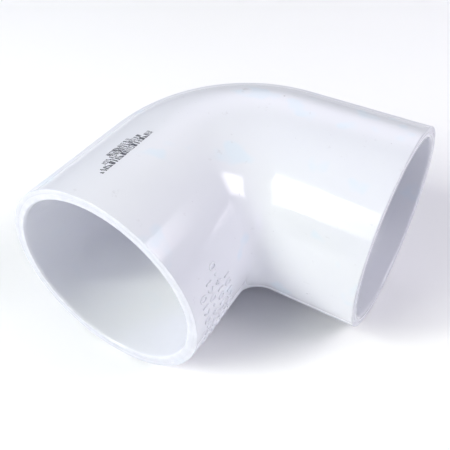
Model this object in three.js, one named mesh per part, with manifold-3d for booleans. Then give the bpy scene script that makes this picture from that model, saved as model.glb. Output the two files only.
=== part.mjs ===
// 90 degree PVC pressure elbow with two solvent-weld sockets, for 75 mm pipe.
//
// The elbow lies flat: the axes of its two sockets cross at one point and lie in one level plane.
// Socket B opens toward +X, socket A opens toward -Y, and +Z is up. The origin is under the middle
// of the elbow's box, on the surface that the elbow lies on. Units are millimetres.

import * as THREE from 'three';
import { LoftGeometry } from 'three/addons/geometries/LoftGeometry.js';
import { mergeVertices } from 'three/addons/utils/BufferGeometryUtils.js';
import Module from 'manifold-3d';

const wasm = await Module();
wasm.setup();

// Driving dimensions.
const OUTER_RADIUS = 42.2;
const MOUTH_DISTANCE = 82.5; // from the crossing of the axes to each end face
const SOCKET_DEPTH = 44;
const BORE_MOUTH_RADIUS = 37.5;
const BORE_ROOT_RADIUS = 37.3; // the sockets narrow slightly inward
const LEAD_IN_RADIUS = 38.3; // where the rounded lip meets the end face
const LEAD_IN_DEPTH = 1.5;
const WATERWAY_RADIUS = 34.2;
const BEND_RADIUS = 31.6; // of the centreline
const OUTER_CROTCH_FILLET = 6.6;
const WATERWAY_CROTCH_FILLET = 3.5;

// Raised marks on socket A, on the side that faces the crotch. An angle is measured around the
// socket from that side, and grows toward the top.
const MARK_HEIGHT = 3.4;
const MARK_WIDTH = 2.6;
const MARK_STROKE = 0.75;
const MARK_RISE = 0.4; // above the socket's surface
const MARK_ROOT = 1; // sunk into the wall
const MARK_PITCH_DEG = 4.7;
const MARK_ROWS = [
  { along: 75.9, topAngleDeg: 14, count: 8 },
  { along: 71.2, topAngleDeg: 18.5, count: 9 },
  { along: 66.6, topAngleDeg: 23.5, count: 10 },
  { along: 61.7, topAngleDeg: 12.5, count: 7 },
];
const MARK_KINDS = ['ring', 'bar', 'chevron', 'ring', 'dot', 'cross', 'bar'];

// Lines of ink along the top of socket A. Each is a thin film of print, lowest on the curve first.
const INK_THICKNESS = 0.2;
const INK_CLEARANCE = 0.1;
const INK_LINES = [
  { name: 'ink_line_1', startAngleDeg: 92.6, endAngleDeg: 95.5, start: 41.2, end: 69.2 },
  { name: 'ink_line_2', startAngleDeg: 96.2, endAngleDeg: 98.4, start: 44.8, end: 64.8 },
  { name: 'ink_line_3', startAngleDeg: 99.1, endAngleDeg: 101.3, start: 48.2, end: 60.2 },
];

// Fineness of the facets.
const SIDES = 64;
const BEND_STEPS = 14;
const RING_SIDES = 14;
const DOT_SIDES = 10;
const ARC_STEPS = 6;

const ROOT_DISTANCE = MOUTH_DISTANCE - SOCKET_DEPTH;
const DEGREES = Math.PI / 180;

const pvc = new THREE.MeshStandardMaterial({ color: 0xeeeff4, roughness: 0.22, metalness: 0 });
const ink = new THREE.MeshStandardMaterial({ color: 0x14172a, roughness: 0.6, metalness: 0 });

// Distance from the crossing, along each axis, of the corner that a lengthwise line of the surface
// turns through. The line lies `offset` to the crotch side of the centreline. On the heel side all
// corners share one centre. On the crotch side the centre moves out, so that the innermost line
// still turns through the fillet.
function cornerCentre(offset, sectionRadius, fillet) {
  const innermost = sectionRadius + fillet;
  return BEND_RADIUS + (innermost - BEND_RADIUS) * Math.max(0, offset / sectionRadius);
}

// One ring of points round the tube. `place` turns a point's offset and height into a position.
function ring(sectionRadius, place) {
  const points = [];
  for (let i = 0; i < SIDES; i++) {
    const angle = (-2 * Math.PI * i) / SIDES;
    points.push(place(sectionRadius * Math.cos(angle), sectionRadius * Math.sin(angle)));
  }
  return points;
}

function socketRingA(sectionRadius, distance) {
  return ring(sectionRadius, (offset, height) => new THREE.Vector3(offset, -distance, height));
}

function socketRingB(sectionRadius, distance) {
  return ring(sectionRadius, (offset, height) => new THREE.Vector3(distance, -offset, height));
}

// The rings that turn from socket A to socket B.
function bendRings(sectionRadius, fillet) {
  const rings = [];
  for (let step = 0; step <= BEND_STEPS; step++) {
    const turn = (Math.PI / 2) * (step / BEND_STEPS);
    rings.push(ring(sectionRadius, (offset, height) => {
      const centre = cornerCentre(offset, sectionRadius, fillet);
      const radius = centre - offset;
      const x = centre - radius * Math.cos(turn);
      const y = -centre + radius * Math.sin(turn);
      return new THREE.Vector3(x, y, height);
    }));
  }
  return rings;
}

// The rings of one socket's inside, from the edge of its end face to the waterway.
function socketInside(socketRing) {
  return [
    socketRing(LEAD_IN_RADIUS, MOUTH_DISTANCE),
    socketRing(BORE_MOUTH_RADIUS, MOUTH_DISTANCE - LEAD_IN_DEPTH),
    socketRing(BORE_ROOT_RADIUS, ROOT_DISTANCE),
    socketRing(WATERWAY_RADIUS, ROOT_DISTANCE),
  ];
}

// The whole moulding as one closed skin: out along the outside, and back through the inside.
function elbowGeometry() {
  const mouthA = socketRingA(OUTER_RADIUS, MOUTH_DISTANCE);
  const mouthB = socketRingB(OUTER_RADIUS, MOUTH_DISTANCE);
  return new LoftGeometry([
    mouthA,
    ...bendRings(OUTER_RADIUS, OUTER_CROTCH_FILLET),
    mouthB,
    ...socketInside(socketRingB),
    ...bendRings(WATERWAY_RADIUS, WATERWAY_CROTCH_FILLET).reverse(),
    ...socketInside(socketRingA).reverse(),
    mouthA,
  ]);
}

function toSolid(geometry) {
  const bare = new THREE.BufferGeometry();
  bare.setAttribute('position', geometry.getAttribute('position'));
  bare.setIndex(geometry.getIndex());
  const merged = mergeVertices(bare);
  return new wasm.Manifold(new wasm.Mesh({
    numProp: 3,
    vertProperties: new Float32Array(merged.attributes.position.array),
    triVerts: new Uint32Array(merged.index.array),
  }));
}

function toGeometry(solid) {
  const mesh = solid.getMesh();
  const geometry = new THREE.BufferGeometry();
  geometry.setAttribute('position', new THREE.BufferAttribute(mesh.vertProperties, 3));
  geometry.setIndex(new THREE.BufferAttribute(mesh.triVerts, 1));
  geometry.computeVertexNormals();
  return geometry;
}

// Each kind of mark stands up along its own Z, with its foot at z = 0.
const MARK_DEPTH = MARK_ROOT + MARK_RISE;

function ringMark() {
  const outer = MARK_WIDTH / 2;
  const inner = outer - MARK_STROKE;
  const profile = [
    new THREE.Vector2(inner, 0),
    new THREE.Vector2(outer, 0),
    new THREE.Vector2(outer, MARK_DEPTH),
    new THREE.Vector2(inner, MARK_DEPTH),
    new THREE.Vector2(inner, 0),
  ];
  const lathe = new THREE.LatheGeometry(profile, RING_SIDES).rotateX(Math.PI / 2);
  return [lathe.scale(1, MARK_HEIGHT / MARK_WIDTH, 1)];
}

function bar(width, height) {
  return new THREE.BoxGeometry(width, height, MARK_DEPTH).translate(0, 0, MARK_DEPTH / 2);
}

function barMark() {
  return [bar(MARK_STROKE, MARK_HEIGHT)];
}

function crossMark() {
  return [bar(MARK_STROKE, MARK_HEIGHT), bar(MARK_WIDTH, MARK_STROKE)];
}

function dotMark() {
  const dot = new THREE.CylinderGeometry(MARK_STROKE, MARK_STROKE, MARK_DEPTH, DOT_SIDES);
  return [dot.rotateX(Math.PI / 2).translate(0, 0, MARK_DEPTH / 2)];
}

function chevronMark() {
  const halfWidth = MARK_WIDTH / 2;
  const halfHeight = MARK_HEIGHT / 2;
  const shape = new THREE.Shape([
    new THREE.Vector2(-halfWidth, -halfHeight),
    new THREE.Vector2(-halfWidth + MARK_STROKE, -halfHeight),
    new THREE.Vector2(halfWidth, 0),
    new THREE.Vector2(-halfWidth + MARK_STROKE, halfHeight),
    new THREE.Vector2(-halfWidth, halfHeight),
    new THREE.Vector2(halfWidth - MARK_STROKE, 0),
  ]);
  return [new THREE.ExtrudeGeometry(shape, { depth: MARK_DEPTH, bevelEnabled: false })];
}

const MARK_MAKERS = {
  ring: ringMark,
  bar: barMark,
  cross: crossMark,
  dot: dotMark,
  chevron: chevronMark,
};

// Moves a mark onto socket A: its Y along the socket, its Z straight out of the surface.
function standOnSocketA(geometry, angle, along) {
  const outward = new THREE.Vector3(Math.cos(angle), 0, Math.sin(angle));
  const lengthwise = new THREE.Vector3(0, 1, 0);
  const around = new THREE.Vector3().crossVectors(lengthwise, outward);
  const matrix = new THREE.Matrix4().makeBasis(around, lengthwise, outward);
  const foot = outward.clone().multiplyScalar(OUTER_RADIUS - MARK_ROOT);
  matrix.setPosition(foot.x, -along, foot.z);
  return geometry.applyMatrix4(matrix);
}

function elbowBody() {
  let solid = toSolid(elbowGeometry());
  let made = 0;
  for (const row of MARK_ROWS) {
    for (let i = 0; i < row.count; i++) {
      const kind = MARK_KINDS[made % MARK_KINDS.length];
      const angle = (row.topAngleDeg - i * MARK_PITCH_DEG) * DEGREES;
      for (const geometry of MARK_MAKERS[kind]()) {
        solid = solid.add(toSolid(standOnSocketA(geometry, angle, row.along)));
      }
      made++;
    }
  }
  const mesh = new THREE.Mesh(toGeometry(solid), pvc);
  mesh.name = 'elbow_body';
  return mesh;
}

// A film of ink: an arc of thin ring, as long as its line of print.
function inkLine({ name, startAngleDeg, endAngleDeg, start, end }) {
  const inner = OUTER_RADIUS + INK_CLEARANCE;
  const outer = inner + INK_THICKNESS;
  const startAngle = startAngleDeg * DEGREES;
  const endAngle = endAngleDeg * DEGREES;
  const shape = new THREE.Shape();
  shape.absarc(0, 0, outer, startAngle, endAngle, false);
  shape.absarc(0, 0, inner, endAngle, startAngle, true);
  const options = { depth: end - start, bevelEnabled: false, curveSegments: ARC_STEPS };
  const mesh = new THREE.Mesh(new THREE.ExtrudeGeometry(shape, options), ink);
  mesh.name = name;
  mesh.rotation.x = Math.PI / 2;
  mesh.position.y = -start;
  return mesh;
}

const elbow = new THREE.Group();
elbow.add(elbowBody());
for (const line of INK_LINES) {
  elbow.add(inkLine(line));
}

// The crossing of the axes sits back from the middle of the box by half of what the sockets
// reach past the heel.
const SETBACK = (MOUTH_DISTANCE - OUTER_RADIUS) / 2;
elbow.position.set(-SETBACK, SETBACK, OUTER_RADIUS);

const group = new THREE.Group();
group.add(elbow);

export default group;
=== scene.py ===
"""A white PVC pressure elbow lying on its side on a pale studio floor.

The elbow is one moulding. Its skin is lofted as one closed surface: out along the outside from
socket A to socket B, and back through the bores and the waterway. Raised marks stand on socket A's
crotch side, and three lines of ink dots run along its top. Everything is in metres, in the frame's
axes: socket A opens toward -Y, socket B toward +X, and +Z is up. The crossing is the point where the
axes of the two sockets meet.
"""

import math
import random
from types import SimpleNamespace

import bmesh
import bpy
from mathutils import Matrix, Vector


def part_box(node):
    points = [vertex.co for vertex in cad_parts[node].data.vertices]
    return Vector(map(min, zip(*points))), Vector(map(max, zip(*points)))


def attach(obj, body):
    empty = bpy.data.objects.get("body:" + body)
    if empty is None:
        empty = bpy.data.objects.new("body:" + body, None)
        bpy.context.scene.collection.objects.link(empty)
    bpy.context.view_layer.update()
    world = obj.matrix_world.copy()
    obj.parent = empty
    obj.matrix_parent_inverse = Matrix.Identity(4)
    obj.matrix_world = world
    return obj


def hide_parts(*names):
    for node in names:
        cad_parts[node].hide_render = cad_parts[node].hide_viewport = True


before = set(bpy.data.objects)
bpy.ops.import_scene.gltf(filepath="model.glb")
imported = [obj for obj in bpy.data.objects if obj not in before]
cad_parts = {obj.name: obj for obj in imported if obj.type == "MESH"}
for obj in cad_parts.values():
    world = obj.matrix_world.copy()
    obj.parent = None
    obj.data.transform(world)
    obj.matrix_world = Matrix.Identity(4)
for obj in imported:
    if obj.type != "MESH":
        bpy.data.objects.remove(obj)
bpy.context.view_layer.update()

MM = 0.001

# The outside size comes from the frame. The body's box is as high as the sockets are wide, and as
# long as one socket's reach and half a socket's width.
BODY_LOW, BODY_HIGH = (Vector(corner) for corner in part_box("elbow_body"))
OUTER_RADIUS = (BODY_HIGH.z - BODY_LOW.z) / 2
MOUTH_DISTANCE = BODY_HIGH.x - BODY_LOW.x - OUTER_RADIUS
CROSSING = Vector((BODY_LOW.x + OUTER_RADIUS, BODY_HIGH.y - OUTER_RADIUS, BODY_LOW.z + OUTER_RADIUS))

# Inside and bend, as in the CAD.
SOCKET_DEPTH = 44 * MM
ROOT_DISTANCE = MOUTH_DISTANCE - SOCKET_DEPTH
BORE_MOUTH_RADIUS = 37.5 * MM
BORE_ROOT_RADIUS = 37.3 * MM
LEAD_IN_RADIUS = 38.3 * MM
LEAD_IN_DEPTH = 1.5 * MM
WATERWAY_RADIUS = 34.2 * MM
BEND_RADIUS = 31.6 * MM
OUTER_CROTCH_FILLET = 6.6 * MM
WATERWAY_CROTCH_FILLET = 3.5 * MM
STRAIGHT_START = BEND_RADIUS + 18 * MM  # just past the outer crotch's fillet

# Fine edges that only the looks need.
RIM_ROUNDING = 0.35 * MM
SHOULDER_ROUNDING = 0.6 * MM
LIP_MARGIN = 0.2 * MM  # flat face left outside the lip's arc
GROOVE_RADIUS = 40.4 * MM  # a fine witness ring on each end face
GROOVE_HALF_WIDTH = 0.16 * MM
GROOVE_DEPTH = 0.12 * MM
# The groove's section from its outer to its inner edge: shares of its half width and of its depth.
GROOVE_SECTION = ((1, 0), (0.5, 0.7), (0, 1), (-0.5, 0.7), (-1, 0))

SIDES = 256
BEND_STEPS = 64
STRAIGHT_STEPS = 10
ROUNDING_STEPS = 4
LIP_STEPS = 6


# ---------------------------------------------------------------- meshes

def linked_object(name, mesh, material, smooth=True):
    mesh.polygons.foreach_set("use_smooth", [smooth] * len(mesh.polygons))
    mesh.materials.append(material)
    mesh.update()
    obj = bpy.data.objects.new(name, mesh)
    bpy.context.scene.collection.objects.link(obj)
    return obj


def mesh_object(name, vertices, faces, material, smooth=True):
    mesh = bpy.data.meshes.new(name)
    mesh.from_pydata(vertices, [], faces)
    return linked_object(name, mesh, material, smooth)


# ---------------------------------------------------------------- the moulding's skin

def corner_centre(offset, section_radius, fillet):
    """Distance from the crossing, along each axis, of the corner that a lengthwise line turns round."""
    innermost = section_radius + fillet
    return BEND_RADIUS + (innermost - BEND_RADIUS) * max(0, offset / section_radius)


def ring(section_radius, place):
    """One ring of points round the tube; place(offset, height) gives a point from the crossing."""
    points = []
    for i in range(SIDES):
        angle = 2 * math.pi * i / SIDES
        points.append(CROSSING + place(section_radius * math.cos(angle), section_radius * math.sin(angle)))
    return points


def ring_a(section_radius, distance):
    return ring(section_radius, lambda offset, height: Vector((offset, -distance, height)))


def ring_b(section_radius, distance):
    return ring(section_radius, lambda offset, height: Vector((distance, -offset, height)))


def bend_rings(section_radius, fillet):
    """The rings that turn from socket A to socket B."""
    def place(offset, height, turn):
        centre = corner_centre(offset, section_radius, fillet)
        radius = centre - offset
        return Vector((centre - radius * math.cos(turn), radius * math.sin(turn) - centre, height))

    rings = []
    for step in range(BEND_STEPS + 1):
        turn = math.pi / 2 * step / BEND_STEPS
        rings.append(ring(section_radius, lambda offset, height: place(offset, height, turn)))
    return rings


def arc(centre, radii, start_degrees, end_degrees, steps=ROUNDING_STEPS):
    """Points (section radius, distance) on an arc of the wall's lengthwise profile."""
    points = []
    for i in range(steps + 1):
        angle = math.radians(start_degrees + (end_degrees - start_degrees) * i / steps)
        points.append((centre[0] + radii[0] * math.cos(angle), centre[1] + radii[1] * math.sin(angle)))
    return points


def mouth_profile():
    """Points (section radius, distance) from the rim, over the end face and along the bore, to the root."""
    face = MOUTH_DISTANCE
    rim_radii = (RIM_ROUNDING, RIM_ROUNDING)
    profile = arc((OUTER_RADIUS - RIM_ROUNDING, face - RIM_ROUNDING), rim_radii, 0, 90)
    profile.append((OUTER_RADIUS - RIM_ROUNDING * 2, face))
    profile.append((GROOVE_RADIUS + GROOVE_HALF_WIDTH * 2, face))
    for side, depth in GROOVE_SECTION:
        profile.append((GROOVE_RADIUS + side * GROOVE_HALF_WIDTH, face - depth * GROOVE_DEPTH))
    profile.append((GROOVE_RADIUS - GROOVE_HALF_WIDTH * 2, face))
    profile.append((LEAD_IN_RADIUS + LIP_MARGIN, face))
    lip_radii = (LEAD_IN_RADIUS - BORE_MOUTH_RADIUS, LEAD_IN_DEPTH)
    profile += arc((LEAD_IN_RADIUS, face - LEAD_IN_DEPTH), lip_radii, 90, 180, LIP_STEPS)
    bore_length = SOCKET_DEPTH - LEAD_IN_DEPTH
    for step in range(1, STRAIGHT_STEPS):
        part = step / STRAIGHT_STEPS
        radius = BORE_MOUTH_RADIUS + (BORE_ROOT_RADIUS - BORE_MOUTH_RADIUS) * part
        profile.append((radius, face - LEAD_IN_DEPTH - bore_length * part))
    rounding = SHOULDER_ROUNDING
    profile += arc((BORE_ROOT_RADIUS - rounding, ROOT_DISTANCE + rounding), (rounding, rounding), 0, -90)
    profile += arc((WATERWAY_RADIUS + rounding, ROOT_DISTANCE - rounding), (rounding, rounding), 90, 180)
    return profile


def straight_outside(maker):
    """Rings along a socket's outside, from the bend to the rounded rim."""
    end = MOUTH_DISTANCE - RIM_ROUNDING * 2
    rings = []
    for i in range(STRAIGHT_STEPS + 1):
        rings.append(maker(OUTER_RADIUS, STRAIGHT_START + (end - STRAIGHT_START) * i / STRAIGHT_STEPS))
    return rings


def elbow_moulding(material):
    profile = mouth_profile()
    rings = list(reversed(straight_outside(ring_a)))
    rings += bend_rings(OUTER_RADIUS, OUTER_CROTCH_FILLET)
    rings += straight_outside(ring_b)
    rings += [ring_b(radius, distance) for radius, distance in profile]
    rings += reversed(bend_rings(WATERWAY_RADIUS, WATERWAY_CROTCH_FILLET))
    rings += [ring_a(radius, distance) for radius, distance in reversed(profile)]
    vertices = [point for points in rings for point in points]
    faces = []
    for row in range(len(rings)):
        this, following = row * SIDES, (row + 1) % len(rings) * SIDES
        for i in range(SIDES):
            j = (i + 1) % SIDES
            faces.append((this + i, following + i, following + j, this + j))
    return mesh_object("elbow_moulding", vertices, faces, material)


# ---------------------------------------------------------------- raised marks on socket A

MARK_HEIGHT = 3.7 * MM
MARK_WIDTH = 2.7 * MM
MARK_STROKE = 0.7 * MM
MARK_RISE = 0.38 * MM
MARK_ROOT = 0.6 * MM
MARK_DOT_RADIUS = 0.36 * MM
MARK_RING_SIDES = 20
MARK_DOT_SIDES = 12
MARK_PITCH = 4.7  # degrees round the socket
# Each row: distance from the crossing in mm, angle of the highest mark in degrees, number of marks.
MARK_ROWS = ((75.9, 14, 8), (71.2, 18.5, 9), (66.6, 23.5, 10), (61.7, 12.5, 7))
MARK_KINDS = ("ring", "bar", "chevron", "ring", "dot", "cross", "bar")

# A stroke's section from one foot to its middle: shares of its width, and of its rise or its root.
STROKE_SECTION = ((0.60, -1.0), (0.54, -0.1), (0.47, 0.35), (0.38, 0.8), (0.22, 0.98), (0.0, 1.0))


def on_socket_a(around, along, angle, distance, radius):
    """A point on socket A: `around` and `along` from a place at that angle and distance."""
    turn = angle - around / OUTER_RADIUS
    return CROSSING + Vector((radius * math.cos(turn), along - distance, radius * math.sin(turn)))


def oval(half_width, half_height, sides):
    turns = [2 * math.pi * i / sides for i in range(sides)]
    return [(half_width * math.cos(turn), half_height * math.sin(turn)) for turn in turns]


def mark_strokes(kind):
    """The middle lines of a mark's strokes: for each, its points and whether it is closed."""
    w = (MARK_WIDTH - MARK_STROKE) / 2
    h = (MARK_HEIGHT - MARK_STROKE) / 2
    if kind == "ring":
        return [(oval(w, h, MARK_RING_SIDES), True)]
    if kind == "bar":
        return [([(0, -h), (0, 0), (0, h)], False)]
    if kind == "chevron":
        return [([(-w, -h), (0, -h / 2), (w, 0), (0, h / 2), (-w, h)], False)]
    if kind == "cross":
        return [([(0, -h), (0, 0), (0, h)], False), ([(-w, 0), (0, 0), (w, 0)], False)]
    return [(oval(MARK_DOT_RADIUS, MARK_DOT_RADIUS, MARK_DOT_SIDES), True)]


def add_stroke(bm, points, closed, angle, distance):
    """A ridge with the stroke's section along one middle line."""
    section = list(STROKE_SECTION)
    section += [(-side, level) for side, level in reversed(STROKE_SECTION[:-1])]
    count = len(points)
    rows = []
    for i, (x, y) in enumerate(points):
        before = points[i - 1] if closed or i > 0 else points[i]
        after = points[(i + 1) % count] if closed or i < count - 1 else points[i]
        dx, dy = after[0] - before[0], after[1] - before[1]
        length = math.hypot(dx, dy)
        nx, ny = -dy / length, dx / length
        row = []
        for side, level in section:
            reach = side * MARK_STROKE
            radius = OUTER_RADIUS + level * (MARK_RISE if level > 0 else MARK_ROOT)
            row.append(bm.verts.new(on_socket_a(x + nx * reach, y + ny * reach, angle, distance, radius)))
        rows.append(row)
    size = len(section)
    for i in range(count if closed else count - 1):
        this, following = rows[i], rows[(i + 1) % count]
        for k in range(size):
            j = (k + 1) % size
            bm.faces.new((this[k], following[k], following[j], this[j]))
    if not closed:
        bm.faces.new(rows[0])
        bm.faces.new(list(reversed(rows[-1])))


def raised_marks(material):
    bm = bmesh.new()
    made = 0
    for distance, top_angle, count in MARK_ROWS:
        for i in range(count):
            angle = math.radians(top_angle - i * MARK_PITCH)
            for points, closed in mark_strokes(MARK_KINDS[made % len(MARK_KINDS)]):
                add_stroke(bm, points, closed, angle, distance * MM)
            made += 1
    bmesh.ops.recalc_face_normals(bm, faces=bm.faces)
    mesh = bpy.data.meshes.new("raised_marks")
    bm.to_mesh(mesh)
    bm.free()
    return linked_object("raised_marks", mesh, material)


# ---------------------------------------------------------------- ink print on socket A

INK_DOT_RADIUS = 0.2 * MM
INK_DOT_PITCH = 0.3 * MM
INK_DOT_SIDES = 8
INK_DOT_SIZES = (0.85, 1.12)  # smallest and largest share of the radius
INK_FILM = 0.03 * MM
INK_SINK = 0.01 * MM  # how far a dot's foot is below the skin
INK_SHOULDER = 0.8  # share of the radius and of the film at a dot's raised ring
INK_JITTER = 0.03 * MM
INK_TURN_JITTER = 0.0006  # radians
INK_SIGN_COLUMNS = 4
# Each sign is a small filled shape that stands for a printed character. None is a letter.
INK_SIGNS = ("block", "frame", "bars", "post", "steps", "checks", "slope")


def sign_has_dot(sign, column, row, rows):
    last_column, last_row = INK_SIGN_COLUMNS - 1, rows - 1
    if sign == "block":
        return True
    if sign == "frame":
        return column in (0, last_column) or row in (0, last_row)
    if sign == "bars":
        return column != 1
    if sign == "post":
        return column in (1, 2)
    if sign == "steps":
        return row <= column + 1
    if sign == "checks":
        return (row + column) % 2 == 0
    return abs(column / last_column - row / last_row) < 0.4


def add_dot(vertices, faces, along, angle, radius):
    """A flat dome of dried ink: a ring just under the skin, a raised ring, a top and a bottom."""
    first = len(vertices)
    for reach, rise in ((1.0, -INK_SINK), (INK_SHOULDER, INK_FILM * INK_SHOULDER)):
        for x, y in oval(reach * radius, reach * radius, INK_DOT_SIDES):
            vertices.append(on_socket_a(x, y, angle, along, OUTER_RADIUS + rise))
    top = len(vertices)
    vertices.append(on_socket_a(0, 0, angle, along, OUTER_RADIUS + INK_FILM))
    bottom = len(vertices)
    vertices.append(on_socket_a(0, 0, angle, along, OUTER_RADIUS - INK_SINK))
    for i in range(INK_DOT_SIDES):
        j = (i + 1) % INK_DOT_SIDES
        low_i, low_j = first + i, first + j
        high_i, high_j = low_i + INK_DOT_SIDES, low_j + INK_DOT_SIDES
        faces.append((low_j, low_i, high_i, high_j))
        faces.append((high_j, high_i, top))
        faces.append((low_i, low_j, bottom))


def ink_line(name, node, rows, material, seed):
    """Dots along one line of print, in the place that the frame's node gives."""
    low, high = (Vector(corner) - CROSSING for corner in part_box(node))
    near, far = -high.y, -low.y
    start_angle = math.atan2(high.z, high.x)
    end_angle = math.atan2(low.z, low.x)
    row_pitch = (end_angle - start_angle) / (rows - 1)
    columns = int((far - near) / INK_DOT_PITCH)
    rng = random.Random(seed)
    vertices, faces = [], []
    column = 0
    sign = rng.choice(INK_SIGNS)
    while column < columns:
        sign = rng.choice([other for other in INK_SIGNS if other != sign])
        for c in range(INK_SIGN_COLUMNS):
            for r in range(rows):
                if column + c >= columns or not sign_has_dot(sign, c, r, rows):
                    continue
                along = near + (column + c + 0.5) * INK_DOT_PITCH + rng.uniform(-1, 1) * INK_JITTER
                angle = start_angle + r * row_pitch + rng.uniform(-1, 1) * INK_TURN_JITTER
                add_dot(vertices, faces, along, angle, INK_DOT_RADIUS * rng.uniform(*INK_DOT_SIZES))
        column += INK_SIGN_COLUMNS + 1
    return mesh_object(name, vertices, faces, material)


# ---------------------------------------------------------------- node helpers

class Tree:
    """Adds nodes to one node tree. Each method gives back the output of the node that it adds."""

    def __init__(self, node_tree):
        self.nodes = node_tree.nodes
        self.links = node_tree.links

    def feed(self, socket, value):
        """Sets a plain value on a socket, or links an output to it."""
        if isinstance(value, (int, float, tuple)):
            socket.default_value = value
        else:
            self.links.new(value, socket)

    def object_place(self):
        return self.nodes.new("ShaderNodeTexCoord").outputs["Object"]

    def noise(self, place, scale, detail, roughness=0.5):
        node = self.nodes.new("ShaderNodeTexNoise")
        node.inputs["Scale"].default_value = scale
        node.inputs["Detail"].default_value = detail
        node.inputs["Roughness"].default_value = roughness
        self.feed(node.inputs["Vector"], place)
        return node.outputs["Fac"]

    def ramp(self, value, stops):
        """Colours along a value; each stop is a position and a colour."""
        node = self.nodes.new("ShaderNodeValToRGB")
        elements = node.color_ramp.elements
        for element, (position, color) in ((elements[0], stops[0]), (elements[1], stops[-1])):
            element.position = position
            element.color = (*color, 1)
        for position, color in stops[1:-1]:
            elements.new(position).color = (*color, 1)
        self.feed(node.inputs["Fac"], value)
        return node.outputs["Color"]

    def scaled(self, place, scale):
        node = self.nodes.new("ShaderNodeMapping")
        node.inputs["Scale"].default_value = scale
        self.feed(node.inputs["Vector"], place)
        return node.outputs["Vector"]

    def split(self, vector):
        node = self.nodes.new("ShaderNodeSeparateXYZ")
        self.feed(node.inputs["Vector"], vector)
        return node.outputs

    def from_point(self, place, point):
        node = self.nodes.new("ShaderNodeVectorMath")
        node.operation = "SUBTRACT"
        self.feed(node.inputs[0], place)
        node.inputs[1].default_value = point
        return node.outputs["Vector"]

    def length(self, vector):
        node = self.nodes.new("ShaderNodeVectorMath")
        node.operation = "LENGTH"
        self.feed(node.inputs[0], vector)
        return node.outputs["Value"]

    def math(self, operation, *values):
        node = self.nodes.new("ShaderNodeMath")
        node.operation = operation
        for socket, value in zip(node.inputs, values):
            self.feed(socket, value)
        return node.outputs["Value"]

    def plus(self, first, second):
        return self.math("ADD", first, second)

    def minus(self, first, second):
        return self.math("SUBTRACT", first, second)

    def times(self, first, second):
        return self.math("MULTIPLY", first, second)

    def greater(self, first, second):
        return self.math("MAXIMUM", first, second)

    def off(self, value, target):
        """How far a value is from a target, either way."""
        return self.math("ABSOLUTE", self.minus(value, target))

    def step(self, value, start, end):
        """0 up to start and 1 from end on, with a smooth climb between; start may be the greater."""
        node = self.nodes.new("ShaderNodeMapRange")
        node.interpolation_type = "SMOOTHSTEP"
        node.inputs["From Min"].default_value = start
        node.inputs["From Max"].default_value = end
        self.feed(node.inputs["Value"], value)
        return node.outputs["Result"]

    def mix(self, kind, factor, first, second):
        """A mix of two FLOAT, VECTOR or RGBA values."""
        node = self.nodes.new("ShaderNodeMix")
        node.data_type = kind
        sockets = [socket for socket in node.inputs if socket.enabled]
        for socket, value in zip(sockets, (factor, first, second)):
            self.feed(socket, value)
        return next(socket for socket in node.outputs if socket.enabled)


def new_material(name):
    material = bpy.data.materials.new(name)
    material.use_nodes = True
    return material, Tree(material.node_tree), material.node_tree.nodes["Principled BSDF"]


# ---------------------------------------------------------------- the PVC

PVC_COOL = (0.71, 0.72, 0.775)
PVC_WARM = (0.735, 0.745, 0.795)
PVC_PATCH = (0.68, 0.735, 0.808)
# Painted light: the lighter colour that the bores are painted toward.
PVC_BORE_PAINTED_LIGHT = (0.80, 0.81, 0.845)
PVC_RIM = (0.64, 0.65, 0.70)
PVC_SPECK = (0.50, 0.50, 0.55)
PVC_SMUDGE = (0.58, 0.58, 0.62)
PVC_IOR = 1.53
GLOSS_LOW = 0.09
GLOSS_HIGH = 0.14
# Painted light: how strongly the bores are painted lighter, in socket A and in socket B.
BORE_PAINTED_LIGHT_A = 0.8
BORE_PAINTED_LIGHT_B = 0.2
RUB_X = 0.3 * MM  # the rub mark's place across socket A, from its axis
BUMP_STRENGTH = 0.05
BUMP_DISTANCE = 0.4 * MM


def skin_places(tree):
    """Where a point of the moulding is: from the crossing, along which socket, and on which side."""
    place = tree.from_point(tree.object_place(), CROSSING)
    x, y, z = tree.split(place)
    on_b = tree.step(tree.plus(x, y), -0.5 * MM, 0.5 * MM)
    from_a_axis = tree.length(tree.scaled(place, (1, 0, 1)))
    from_b_axis = tree.length(tree.scaled(place, (0, 1, 1)))
    from_axis = tree.mix("FLOAT", on_b, from_a_axis, from_b_axis)
    reach = tree.greater(x, tree.times(y, -1))
    straight = tree.step(reach, 32 * MM, 42 * MM)
    bore = tree.times(tree.step(from_axis, 39.6 * MM, 38.6 * MM), straight)
    return SimpleNamespace(place=place, x=x, y=y, z=z, on_b=on_b, reach=reach, bore=bore)


def pvc_tint(tree, skin):
    """Broad flow clouds, sparse cooler patches, a trace of dust specks, and grey smudges."""
    clouds = tree.noise(skin.place, scale=30, detail=3)
    tint = tree.ramp(clouds, [(0.3, PVC_COOL), (0.7, PVC_WARM)])
    patches = tree.step(tree.noise(skin.place, scale=62, detail=2), 0.585, 0.68)
    specks = tree.step(tree.noise(skin.place, scale=520, detail=1), 0.79, 0.83)
    smudges = tree.step(tree.noise(skin.place, scale=210, detail=4, roughness=0.65), 0.64, 0.80)
    # Painted light: the bores are painted whiter, socket A's far more than socket B's, to stand in for
    # light inside the sockets.
    painted_bore_light = tree.times(skin.bore, tree.mix("FLOAT", skin.on_b, BORE_PAINTED_LIGHT_A, BORE_PAINTED_LIGHT_B))
    # The mouth faces are painted darker, in blotches.
    mouth = tree.step(skin.reach, MOUTH_DISTANCE - 0.5 * MM, MOUTH_DISTANCE - 0.2 * MM)
    mouth_darkening = tree.times(mouth, tree.step(tree.noise(skin.place, scale=240, detail=3), 0.0, 0.85))
    layers = ((patches, PVC_PATCH), (specks, PVC_SPECK), (smudges, PVC_SMUDGE), (painted_bore_light, PVC_BORE_PAINTED_LIGHT),
              (mouth_darkening, PVC_RIM))
    for amount, color in layers:
        tint = tree.mix("RGBA", amount, tint, (*color, 1))
    return tint


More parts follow.
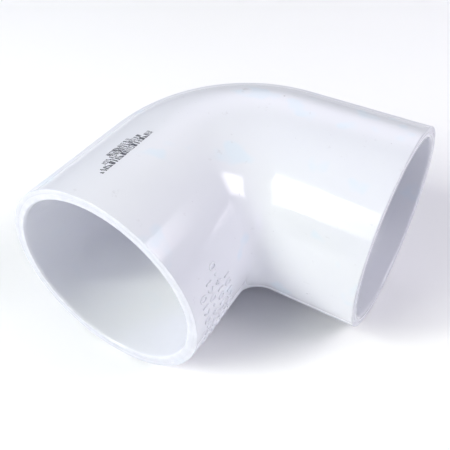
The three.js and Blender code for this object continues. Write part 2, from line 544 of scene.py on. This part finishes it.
def pvc_draw_lines(tree, skin):
    """Draw lines that the cores leave along the bores, and faint rubbed lines along the outside."""
    along_a = tree.scaled(skin.place, (1, 0.02, 1))
    along_b = tree.scaled(skin.place, (0.02, 1, 1))
    lengthwise = tree.mix("VECTOR", skin.on_b, along_a, along_b)
    lines = tree.noise(lengthwise, scale=800, detail=3)
    return tree.times(lines, tree.mix("FLOAT", skin.bore, 0.12, 0.8))


def pvc_scratches(tree, skin):
    """Fine scratches all over, and one rub mark on top of socket A between the print and the rim."""
    slanted = tree.scaled(skin.place, (1, 0.35, 0.7))
    field = tree.noise(slanted, scale=55, detail=2, roughness=0.3)
    scratches = tree.step(tree.off(field, 0.41), 0.0022, 0.0006)
    top = tree.step(skin.z, 35 * MM, 40 * MM)
    beyond_print = tree.step(tree.times(skin.y, -1), 68 * MM, 72 * MM)
    rub = tree.step(tree.off(skin.x, RUB_X), 0.35 * MM, 0.1 * MM)
    return tree.greater(scratches, tree.times(rub, tree.times(top, beyond_print)))


def pvc_gloss(tree, skin, drawn, scratches):
    """Roughness with a haze that varies, rougher along draw lines and scratches."""
    haze = tree.noise(skin.place, scale=150, detail=4)
    gloss = tree.mix("FLOAT", haze, GLOSS_LOW, GLOSS_HIGH)
    gloss = tree.plus(gloss, tree.times(drawn, 0.10))
    gloss = tree.plus(gloss, tree.times(scratches, 0.05))
    # Seen at a grazing angle the orange peel of the outside scatters what it mirrors.
    grazing = tree.nodes.new("ShaderNodeLayerWeight")
    grazing.inputs["Blend"].default_value = 0.5
    spread = tree.step(grazing.outputs["Facing"], 0.74, 0.92)
    return tree.plus(gloss, tree.times(spread, tree.mix("FLOAT", skin.bore, 0.45, 0.0)))


def pvc_normal(tree, skin, drawn, scratches):
    """Orange peel, draw lines and scratches as a bump."""
    height = tree.noise(skin.place, scale=260, detail=2)
    height = tree.plus(height, tree.times(drawn, 0.5))
    height = tree.minus(height, tree.times(scratches, 0.1))
    bump = tree.nodes.new("ShaderNodeBump")
    bump.inputs["Strength"].default_value = BUMP_STRENGTH
    bump.inputs["Distance"].default_value = BUMP_DISTANCE
    tree.feed(bump.inputs["Height"], height)
    return bump.outputs["Normal"]


def pvc_material():
    material, tree, shader = new_material("pvc_white_gloss")
    skin = skin_places(tree)
    drawn = pvc_draw_lines(tree, skin)
    scratches = pvc_scratches(tree, skin)
    tree.feed(shader.inputs["Base Color"], pvc_tint(tree, skin))
    tree.feed(shader.inputs["Roughness"], pvc_gloss(tree, skin, drawn, scratches))
    tree.feed(shader.inputs["Normal"], pvc_normal(tree, skin, drawn, scratches))
    shader.inputs["IOR"].default_value = PVC_IOR
    return material


# ---------------------------------------------------------------- the ink and the floor

INK_THICK = (0.006, 0.007, 0.018)
INK_THIN = (0.02, 0.022, 0.05)
FLOOR_DARK = (0.93, 0.93, 0.935)
FLOOR_LIGHT = (0.95, 0.95, 0.955)


def ink_material():
    material, tree, shader = new_material("ink_blue_black")
    density = tree.noise(tree.object_place(), scale=900, detail=2)
    tree.feed(shader.inputs["Base Color"], tree.ramp(density, [(0.3, INK_THICK), (0.75, INK_THIN)]))
    shader.inputs["Roughness"].default_value = 0.55
    return material


def floor_material():
    material, tree, shader = new_material("studio_floor")
    grain = tree.noise(tree.object_place(), scale=6, detail=2)
    tree.feed(shader.inputs["Base Color"], tree.ramp(grain, [(0.2, FLOOR_DARK), (0.8, FLOOR_LIGHT)]))
    shader.inputs["Roughness"].default_value = 0.9
    shader.inputs["Specular IOR Level"].default_value = 0.1
    return material


# ---------------------------------------------------------------- studio

# How bright a softbox's face is along its width and its height: stops (place, strength).
KEY_ACROSS = (
    (0.08, 0.0), (0.12, 1.0), (0.28, 1.0), (0.33, 0.08), (0.41, 0.12),
    (0.49, 0.30), (0.60, 0.27), (0.69, 0.14), (0.82, 0.08), (1.0, 0.03),
)
KEY_UPWARD = (
    (0.0, 0.0), (0.03, 1.0), (0.09, 1.0), (0.2, 0.6), (0.78, 0.6), (0.9, 1.0), (0.97, 1.0), (1.0, 0.0),
)
BACK_ACROSS = ((0.0, 0.0), (0.02, 1.0), (0.72, 1.0), (0.88, 0.4), (1.0, 0.15))
BACK_UPWARD = ((0.0, 0.0), (0.02, 1.0), (0.98, 1.0), (1.0, 0.0))
SOFT_EDGES = ((0.0, 0.0), (0.35, 1.0), (0.65, 1.0), (1.0, 0.0))

KEY_COLOR = (0.97, 1.0, 0.88)
BACK_COLOR = (1.0, 0.95, 1.0)
REAR_COLOR = (0.90, 0.84, 1.0)
LEFT_FILL_COLOR = (0.5, 0.47, 1.0)
RIGHT_FILL_COLOR = (0.66, 0.55, 1.0)
WORLD_COLOR = (0.86, 0.92, 1.0)
WORLD_STRENGTH = 0.283
FLOOR_HALF_SIZE = 12.0


def direction(azimuth, elevation):
    """Unit vector toward a compass direction (0 is +X, 90 is +Y) and a height, in degrees."""
    a, e = math.radians(azimuth), math.radians(elevation)
    return Vector((math.cos(e) * math.cos(a), math.cos(e) * math.sin(a), math.sin(e)))


def softbox(name, azimuth, elevation, distance, size, watts, color, turn=0):
    """A lamp with a flat face (width, height) that faces the crossing, turned about its own axis."""
    light = bpy.data.lights.new(name, "AREA")
    light.shape = "RECTANGLE"
    light.size, light.size_y = size
    light.energy = watts
    light.color = color
    lamp = bpy.data.objects.new(name, light)
    toward = direction(azimuth, elevation)
    lamp.location = CROSSING + toward * distance
    facing = toward.to_track_quat("Z", "Y").to_matrix()
    lamp.rotation_euler = (facing @ Matrix.Rotation(math.radians(turn), 3, "Z")).to_euler()
    bpy.context.scene.collection.objects.link(lamp)
    return light


def shade_softbox(light, across, upward):
    """Makes a softbox's face uneven, by stops across it and up it."""
    light.use_nodes = True
    tree = Tree(light.node_tree)
    emission = next(node for node in tree.nodes if node.type == "EMISSION")
    parts = tree.split(tree.nodes.new("ShaderNodeNewGeometry").outputs["Parametric"])
    strengths = []
    for value, stops in ((parts["X"], across), (parts["Y"], upward)):
        strengths.append(tree.ramp(value, [(place, (strength,) * 3) for place, strength in stops]))
    tree.feed(emission.inputs["Strength"], tree.times(*strengths))


def studio_lights():
    # The key gives the band along socket B. It is bright in a strip near one end and fades to the other.
    key = softbox("key_softbox", -111, 38, distance=1.2, size=(0.80, 0.60), watts=59, color=KEY_COLOR)
    shade_softbox(key, KEY_ACROSS, KEY_UPWARD)
    # The back softbox gives the square highlight at the bend.
    back = softbox("back_softbox", 17.5, 42, distance=1.2, size=(0.84, 0.44), watts=8.2,
                   color=BACK_COLOR, turn=-17)
    shade_softbox(back, BACK_ACROSS, BACK_UPWARD)
    rear = softbox("rear_softbox", 105, 34, distance=1.3, size=(1.3, 1.0), watts=6.5, color=REAR_COLOR)
    shade_softbox(rear, SOFT_EDGES, SOFT_EDGES)
    softbox("left_fill", -145, 12, distance=1.2, size=(0.4, 0.4), watts=3.3, color=LEFT_FILL_COLOR)
    softbox("right_fill", -45, 12, distance=1.2, size=(0.4, 0.4), watts=0.8, color=RIGHT_FILL_COLOR)


def studio_floor():
    far = FLOOR_HALF_SIZE
    corners = [(-far, -far, 0), (far, -far, 0), (far, far, 0), (-far, far, 0)]
    floor = mesh_object("studio_floor", corners, [(0, 1, 2, 3)], floor_material(), smooth=False)


def studio_world():
    world = bpy.data.worlds.new("studio_world")
    world.use_nodes = True
    background = world.node_tree.nodes["Background"]
    background.inputs["Color"].default_value = (*WORLD_COLOR, 1)
    background.inputs["Strength"].default_value = WORLD_STRENGTH
    bpy.context.scene.world = world
    bpy.context.scene.view_settings.view_transform = "Standard"


# The camera looks down on the elbow from between the two mouths.
CAMERA_FROM_CROSSING = Vector((112.9, -173.9, 161.0)) * MM
CAMERA_AZIMUTH = 32.59
CAMERA_ELEVATION = 43.79
CAMERA_ROLL = 1.47
CAMERA_LENS = 45.84
CAMERA_SENSOR = 36
CAMERA_CLIP = (0.01, 50)


def studio_camera():
    azimuth, elevation, roll = (math.radians(a) for a in (CAMERA_AZIMUTH, CAMERA_ELEVATION, CAMERA_ROLL))
    forward = Vector((
        -math.sin(azimuth) * math.cos(elevation),
        math.cos(azimuth) * math.cos(elevation),
        -math.sin(elevation),
    ))
    level = forward.cross(Vector((0, 0, 1))).normalized()
    upright = level.cross(forward)
    right = math.cos(roll) * level - math.sin(roll) * upright
    up = math.cos(roll) * upright + math.sin(roll) * level
    data = bpy.data.cameras.new("studio_camera")
    data.sensor_width = CAMERA_SENSOR
    data.lens = CAMERA_LENS
    data.clip_start, data.clip_end = CAMERA_CLIP
    camera = bpy.data.objects.new("studio_camera", data)
    pose = Matrix((right, up, -forward)).transposed().to_4x4()
    pose.translation = CROSSING + CAMERA_FROM_CROSSING
    camera.matrix_world = pose
    bpy.context.scene.collection.objects.link(camera)
    bpy.context.scene.camera = camera


# ---------------------------------------------------------------- build

INK_LINE_ROWS = (7, 5, 5)

studio_camera()
studio_lights()
studio_floor()
studio_world()

pvc = pvc_material()
ink = ink_material()

moulding = elbow_moulding(pvc)
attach(moulding, "root")
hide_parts("elbow_body")

marks = raised_marks(pvc)
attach(marks, "root")

for number, rows in enumerate(INK_LINE_ROWS, start=1):
    node = f"ink_line_{number}"
    line = ink_line(f"printed_line_{number}", node, rows, ink, seed=number)
    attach(line, "root")
    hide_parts(node)
